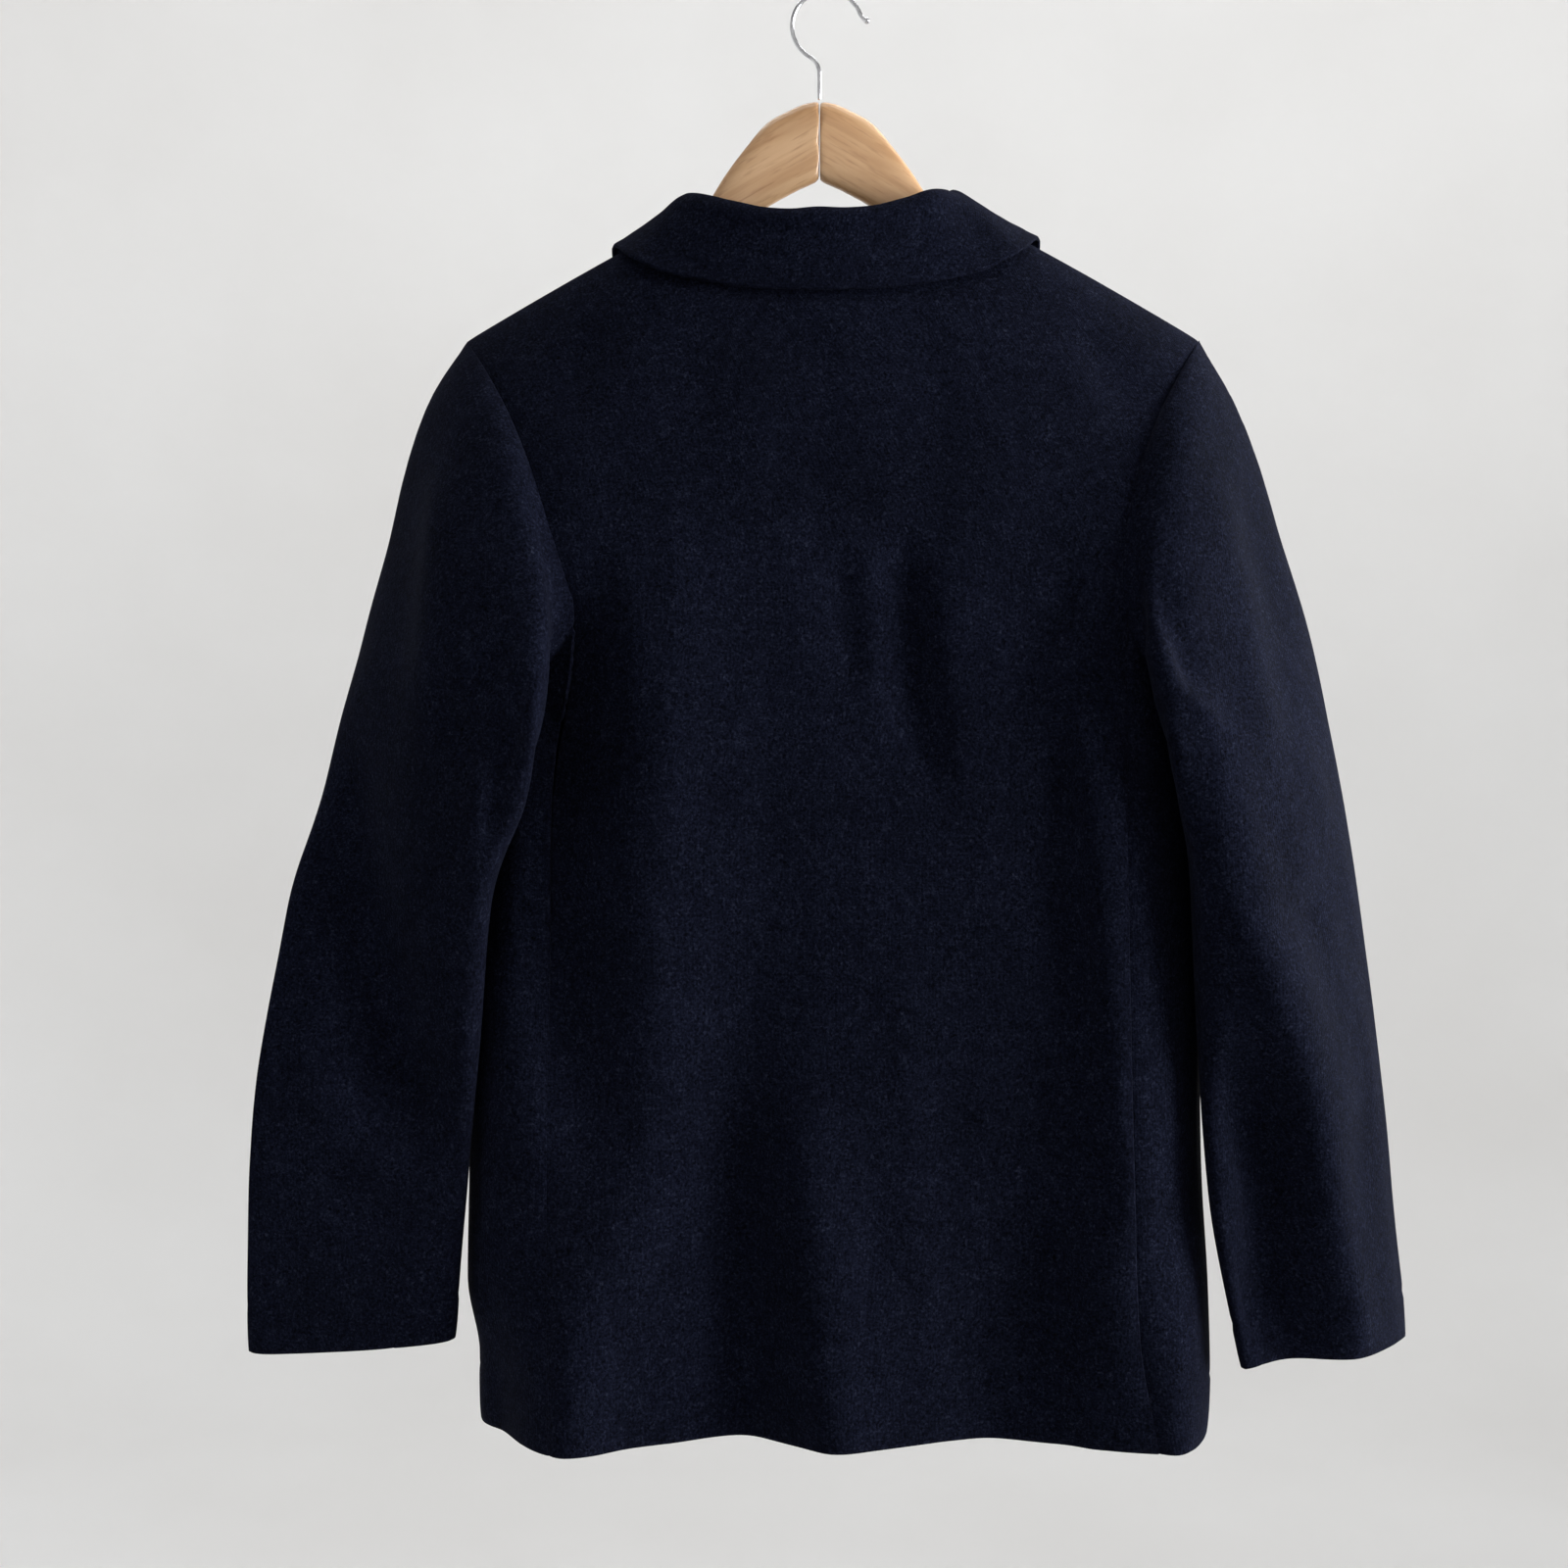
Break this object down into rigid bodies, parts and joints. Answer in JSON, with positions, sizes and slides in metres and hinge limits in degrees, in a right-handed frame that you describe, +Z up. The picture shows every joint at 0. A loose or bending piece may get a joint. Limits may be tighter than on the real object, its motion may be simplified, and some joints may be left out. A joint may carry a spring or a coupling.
{
  "type": "tailored knit jacket on a wooden clothes hanger",
  "caption": "Dark felted-knit tailored jacket with turned-down collar, lapels and two-piece sleeves, hung on a varnished wooden hanger with a wire hook.",
  "frame": {"origin": "inner top of the hook, where it rests on a rail", "axes": "+Z up; the back of the jacket faces -Y and the front +Y; +X is towards the wearer's right"},
  "size_m": [0.6795, 0.1578, 0.8458],
  "materials": {
    "knit": "matt felted wool knit, very dark navy, slightly heathered, soft nap",
    "button": "dark resin, softly polished",
    "wood": "light wood under clear gloss varnish",
    "hook_wire": "bright plated wire"
  },
  "bodies": {
    "root": {"back": "knit", "front_left": "knit", "front_right": "knit", "lapel_left": "knit", "lapel_right": "knit", "top_sleeve_left": "knit", "top_sleeve_right": "knit", "under_sleeve_left": "knit", "under_sleeve_right": "knit", "collar": "knit", "button_1": "button", "button_2": "button", "button_3": "button", "hanger_half_left": "wood", "hanger_half_right": "wood", "hook": "hook_wire"}
  },
  "joints": []
}
